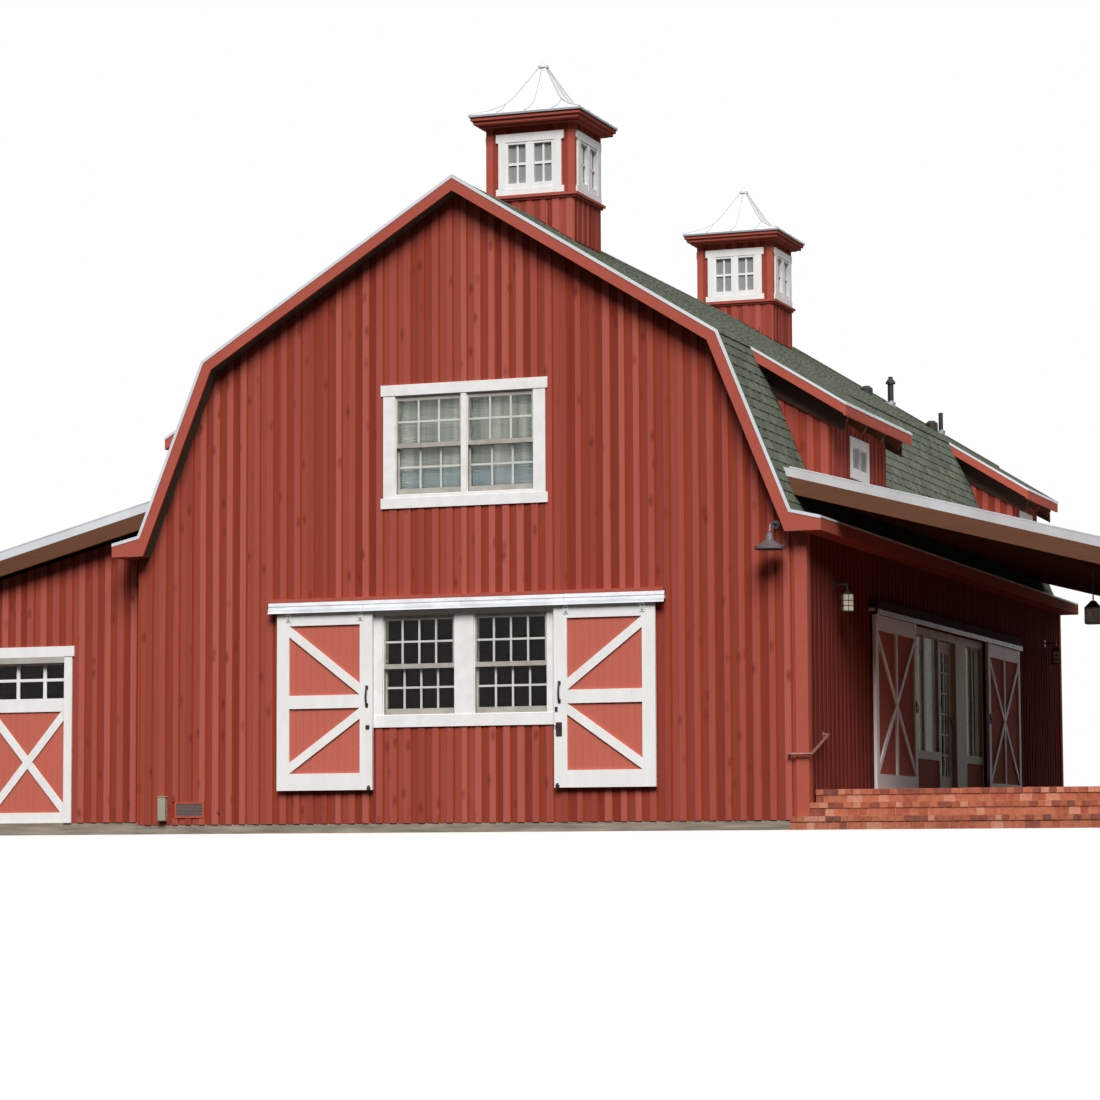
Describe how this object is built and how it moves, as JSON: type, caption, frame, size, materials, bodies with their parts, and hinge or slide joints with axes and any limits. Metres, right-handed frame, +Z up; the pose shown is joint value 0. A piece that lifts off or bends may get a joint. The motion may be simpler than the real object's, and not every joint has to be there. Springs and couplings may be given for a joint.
{
  "type": "farmhouse",
  "caption": "Red gambrel-roofed farmhouse with shed dormers, cupolas, sliding barn doors, a metal-roofed lean-to with a garage door, and a covered brick porch.",
  "frame": {"origin": "ground level under the middle of the front gable wall's outer face", "axes": "+X across the front towards the covered porch, +Y from the front gable to the rear gable, +Z up"},
  "size_m": [17.739, 16.0039, 10.67],
  "materials": {
    "red_siding": "weathered opaque red stain on vertical boards",
    "red_trim": "opaque red stain, slightly lighter than the walls",
    "shingles": "grey-green mineral-faced asphalt shingles, matt",
    "white_metal": "white baked paint on sheet metal, satin",
    "white_trim": "white paint, satin",
    "brown_wood": "dark brown stain, matt",
    "floor_wood": "plain floor boards, matt",
    "glass": "clear window glass",
    "concrete": "cast concrete, matt",
    "brick": "laid clay brick, matt",
    "dark_metal": "dark bronze paint, satin",
    "blind_fabric": "pleated cloth blind, matt",
    "grey_plastic": "moulded plastic, matt",
    "galvanised": "galvanised sheet steel, dull"
  },
  "bodies": {
    "house": {"foundation": "concrete", "ground_floor": "floor_wood", "upper_floor": "floor_wood", "front_wall": "red_siding", "rear_wall": "red_siding", "left_wall": "red_siding", "right_wall_front": "red_siding", "right_wall_rear": "red_siding", "right_wall_header": "red_siding", "corner_boards": "red_trim", "roof_left_upper": "shingles", "roof_right_upper": "shingles", "roof_left_lower": "shingles", "roof_right_lower": "shingles", "rake_boards": "red_trim", "drip_edges": "white_metal", "eave_boards": "red_trim", "eave_soffits": "red_trim", "upper_windows": "white_trim", "lower_windows": "white_trim", "window_glass": "glass", "upper_blinds": "blind_fabric", "porch_lanterns": "dark_metal", "wall_lanterns": "dark_metal", "meter_box": "grey_plastic", "wall_vent": "dark_metal", "front_door_track": "red_trim", "porch_door_track": "galvanised", "entry_frame": "white_trim", "porch_roof": "white_metal", "side_roof_decks": "brown_wood", "side_roof_rafters": "brown_wood", "porch_frame": "brown_wood", "patio": "brick", "lean_to_front_wall": "red_siding", "lean_to_walls": "red_siding", "lean_to_roof": "white_metal", "garage_door": "red_trim", "garage_door_trim": "white_trim", "cupola_bases": "red_trim", "cupola_lanterns": "red_siding", "cupola_windows": "white_trim", "cupola_cornices": "red_trim", "cupola_roofs": "white_metal", "dormer_walls": "red_siding", "dormer_roofs": "shingles", "dormer_fascias": "red_trim", "dormer_rafter_tails": "brown_wood", "dormer_windows": "white_trim", "roof_vents": "dark_metal", "barn_lamp": "dark_metal", "step_handrail": "dark_metal"},
    "front_left_door": {"front_left_sliding_door": "red_trim"},
    "front_right_door": {"front_right_sliding_door": "red_trim"},
    "porch_front_door": {"porch_front_sliding_door": "red_trim"},
    "porch_rear_door": {"porch_rear_sliding_door": "red_trim"},
    "entry_door_leaf": {"entry_door": "white_trim", "entry_door_glass": "glass"}
  },
  "joints": [
    {"name": "front_left_slide", "type": "slide", "parent": "house", "child": "front_left_door", "axis": [1, 0, 0], "range_m": [0, 1.235]},
    {"name": "front_right_slide", "type": "slide", "parent": "house", "child": "front_right_door", "axis": [-1, 0, 0], "range_m": [0, 1.235]},
    {"name": "porch_front_slide", "type": "slide", "parent": "house", "child": "porch_front_door", "axis": [0, -1, 0], "range_m": [-2.17, 0]},
    {"name": "porch_rear_slide", "type": "slide", "parent": "house", "child": "porch_rear_door", "axis": [0, 1, 0], "range_m": [-2.17, 0]},
    {"name": "entry_door_hinge", "type": "hinge", "parent": "house", "child": "entry_door_leaf", "pos_m": [4.454, 6.8965, 1.6], "axis": [0, 0, 1], "range_deg": [0, 90]}
  ]
}
